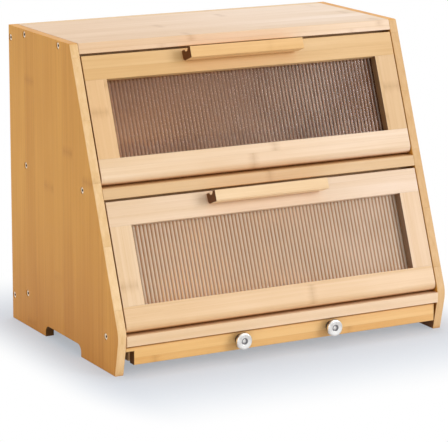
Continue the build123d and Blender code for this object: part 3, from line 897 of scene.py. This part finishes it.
@dataclass
class Drawer:
    """The shallow drawer with its two turned knobs."""

    def dress_boards(self) -> None:
        """Give the drawer's boards their grain."""
        # The front's sideways faces, the wall of its notch among them, take painted shade and
        # darker end grain; its crevices take a little painted shade, and its tone pales to the
        # right as painted light.
        front = BambooFinish("drawer_front_bamboo", Grain.WIDE_UPRIGHT, seed=61.0,
                             strip_width=0.018, tone=(0.91, 0.53, 0.19), end_grain_and_shade_share=0.88,
                             crevice_shade_share=0.3, light_from_right=(1.0, 1.03, 1.18))
        dress("drawer_front", front.build())
        back = BambooFinish("drawer_back_bamboo", Grain.WIDE_UPRIGHT, seed=66.0)
        dress("drawer_back", back.build())
        floor = BambooFinish("drawer_floor_bamboo", Grain.WIDE_FLAT, seed=71.0)
        dress("drawer_floor", floor.build())
        side = BambooFinish("drawer_side_bamboo", Grain.DEEP_SIDE, seed=76.0).build()
        for hand in ("left", "right"):
            dress(f"drawer_side_{hand}", side)
        dress("drawer_dowels", side)

    def dress_metal(self, steel: bpy.types.Material) -> None:
        """Give the knobs their turned nickel and the screws their steel.

        Args:
            steel: The plated steel.
        """
        for hand in ("left", "right"):
            low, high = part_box(f"drawer_knob_{hand}")
            centre = tuple((low + high) / 2)
            finish = TurnedMetalFinish(f"turned_nickel_{hand}", centre)
            dress(f"drawer_knob_{hand}", finish.build())
        for screws in ("knob_screws", "drawer_screws"):
            dress(screws, steel)

    def build(self, steel: bpy.types.Material) -> None:
        """Dress the whole drawer.

        Args:
            steel: The plated steel.
        """
        self.dress_boards()
        self.dress_metal(steel)


@dataclass
class Lamp:
    """One soft area lamp."""

    name: str
    place: Colour
    watts: float
    size: float
    colour: Colour = (1.0, 1.0, 1.0)
    aim: Colour = (0.0, 0.0, 0.15)

    def build(self) -> None:
        """Hang the lamp."""
        data = bpy.data.lights.new(self.name, "AREA")
        data.energy = self.watts
        data.shape = "SQUARE"
        data.size = self.size
        data.color = self.colour
        lamp = bpy.data.objects.new(self.name, data)
        bpy.context.scene.collection.objects.link(lamp)
        towards = Vector(self.aim) - Vector(self.place)
        lamp.matrix_world = (Matrix.Translation(self.place)
                             @ towards.to_track_quat("-Z", "Y").to_matrix().to_4x4())


@dataclass
class Studio:
    """Pale floor, soft lamps and the camera."""

    eye: Colour = (-1.2224, -2.2117, 0.7080)
    look_at: Colour = (-0.0226, -0.0295, 0.1258)
    roll: float = math.radians(0.28)
    lens: float = 190.0
    ambient: float = 0.60
    floor_reach: float = 9.0
    footprint: tuple[float, float] = (0.20, 0.135)
    fade_squeeze: tuple[float, float] = (2.3, 1.0)
    fade_reach: tuple[float, float] = (-0.01, 0.18)
    least_glow: float = 0.40
    shadow_tint: Colour = (0.78, 0.88, 1.0)
    floor_tone: Colour = (0.90, 0.90, 0.91)
    seen_floor_tone: Colour = (0.62, 0.635, 0.68)
    white: Colour = (1.0, 1.0, 1.0)

    def build_camera(self) -> None:
        """Set the camera at the photograph's angle."""
        data = bpy.data.cameras.new("camera")
        data.lens = self.lens
        data.sensor_width = 36.0
        data.clip_end = 50.0
        camera = bpy.data.objects.new("camera", data)
        bpy.context.scene.collection.objects.link(camera)
        towards = Vector(self.look_at) - Vector(self.eye)
        camera.matrix_world = (Matrix.Translation(self.eye)
                               @ towards.to_track_quat("-Z", "Y").to_matrix().to_4x4()
                               @ Matrix.Rotation(self.roll, 4, "Z"))
        bpy.context.scene.camera = camera

    def build_floor(self) -> None:
        """Lay a pale floor that keeps the shadow and fades to white."""
        mesh = bpy.data.meshes.new("floor")
        shape = bmesh.new()
        bmesh.ops.create_grid(shape, x_segments=1, y_segments=1, size=self.floor_reach)
        shape.to_mesh(mesh)
        shape.free()
        floor = bpy.data.objects.new("floor", mesh)
        bpy.context.scene.collection.objects.link(floor)
        g = Graph("pale_floor")
        ray = g.node("ShaderNodeLightPath")
        seen = g.sum_of("MAXIMUM", ray.outputs["Is Camera Ray"],
                        g.sum_of("MAXIMUM", ray.outputs["Is Glossy Ray"],
                                 ray.outputs["Is Transmission Ray"]))
        split = g.node("ShaderNodeSeparateXYZ")
        g.feed(split.inputs[0], g.place())
        beside = g.node("ShaderNodeCombineXYZ")
        for i, (reach, squeeze) in enumerate(zip(self.footprint, self.fade_squeeze)):
            past = g.sum_of("SUBTRACT", g.sum_of("ABSOLUTE", split.outputs[i]), reach)
            past = g.sum_of("MAXIMUM", past, 0.0)
            g.feed(beside.inputs[i], g.sum_of("MULTIPLY", past, squeeze))
        away = g.node("ShaderNodeVectorMath", operation="LENGTH")
        g.feed(away.inputs[0], beside.outputs[0])
        share = g.band(away.outputs["Value"], *self.fade_reach, self.least_glow, 1.0)
        matt = g.node("ShaderNodeBsdfDiffuse")
        g.feed(matt.inputs["Color"],
               g.blend(ray.outputs["Is Camera Ray"], self.floor_tone, self.seen_floor_tone))
        glow = g.node("ShaderNodeEmission")
        g.feed(glow.inputs["Color"], g.blend(share, self.shadow_tint, self.white))
        mixed = g.node("ShaderNodeMixShader")
        g.feed(mixed.inputs[0], g.sum_of("MULTIPLY", share, seen))
        g.feed(mixed.inputs[1], matt.outputs[0])
        g.feed(mixed.inputs[2], glow.outputs[0])
        g.feed(g.output.inputs["Surface"], mixed.outputs[0])
        mesh.materials.append(g.material)

    def build_light(self) -> None:
        """Fill the room with plain light and hang the lamps."""
        world = bpy.data.worlds.new("studio")
        bpy.context.scene.world = world
        world.use_nodes = True
        tree = world.node_tree
        ray = tree.nodes.new("ShaderNodeLightPath")
        level = tree.nodes.new("ShaderNodeMapRange")
        level.inputs[3].default_value = self.ambient
        level.inputs[4].default_value = 1.0
        seen = [ray.outputs[f"Is {kind} Ray"] for kind in ("Camera", "Glossy", "Transmission")]
        any_seen = seen[0]
        for kind in seen[1:]:
            either = tree.nodes.new("ShaderNodeMath")
            either.operation = "MAXIMUM"
            tree.links.new(any_seen, either.inputs[0])
            tree.links.new(kind, either.inputs[1])
            any_seen = either.outputs[0]
        tree.links.new(any_seen, level.inputs[0])
        background = tree.nodes["Background"]
        background.inputs["Color"].default_value = (1.0, 1.0, 1.0, 1.0)
        tree.links.new(level.outputs[0], background.inputs["Strength"])
        Lamp("key_lamp", place=(1.7, -2.3, 1.1), watts=28.5, size=1.2,
             colour=(1.0, 0.985, 0.97)).build()
        Lamp("top_lamp", place=(0.3, 0.5, 2.1), watts=15.0, size=1.4).build()
        Lamp("side_lamp", place=(-2.3, -0.4, 0.9), watts=6.0, size=1.2).build()

    def build(self) -> None:
        """Set up the whole studio."""
        self.build_camera()
        self.build_floor()
        self.build_light()
        bpy.context.scene.view_settings.view_transform = "Standard"


def main() -> None:
    """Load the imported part, dress it and set up the studio."""
    logging.basicConfig(level=logging.INFO, format="%(name)s: %(message)s")
    FRAME.update(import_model())
    joints = {joint["name"]: joint for joint in FRAME["record"]["behaviour"]["joints"]}
    LOG.info("joints: %s", sorted(joints))
    upper = Vector(joints["upper_door_hinge"]["pos_m"])
    lower = Vector(joints["lower_door_hinge"]["pos_m"])
    slope = math.atan2(upper.y - lower.y, upper.z - lower.z)
    LOG.info("doors lean back %.2f degrees", math.degrees(slope))
    Carcass().build()
    steel = PlatedSteelFinish("door_steel").build()
    Door("upper", 101.0, -slope, top_rail=(0.77, 0.47, 0.19), bottom_rail=(0.87, 0.62, 0.38),
         left_stile=(0.82, 0.52, 0.25), right_stile=(0.74, 0.48, 0.24), bar=(0.84, 0.51, 0.215),
         valley_shade=(0.33, 0.17, 0.10), highlight_haze=0.60, highlight_haze_tone=(0.84, 0.51, 0.31),
         left_highlight_share=0.05, veil=0.06, crest=(0.82, 0.72, 0.60)).build(steel)
    Door("lower", 151.0, -slope, top_rail=(0.85, 0.61, 0.39), bottom_rail=(0.84, 0.56, 0.30),
         left_stile=(0.88, 0.63, 0.39), right_stile=(0.84, 0.60, 0.39), bar=(0.90, 0.62, 0.35),
         valley_shade=(0.55, 0.27, 0.11), highlight_haze=0.80, highlight_haze_tone=(0.73, 0.385, 0.155),
         left_highlight_share=1.0, veil=0.42, crest=(1.0, 0.88, 0.70)).build(steel)
    Drawer().build(steel)
    Studio().build()


if __name__ == "__main__":
    main()
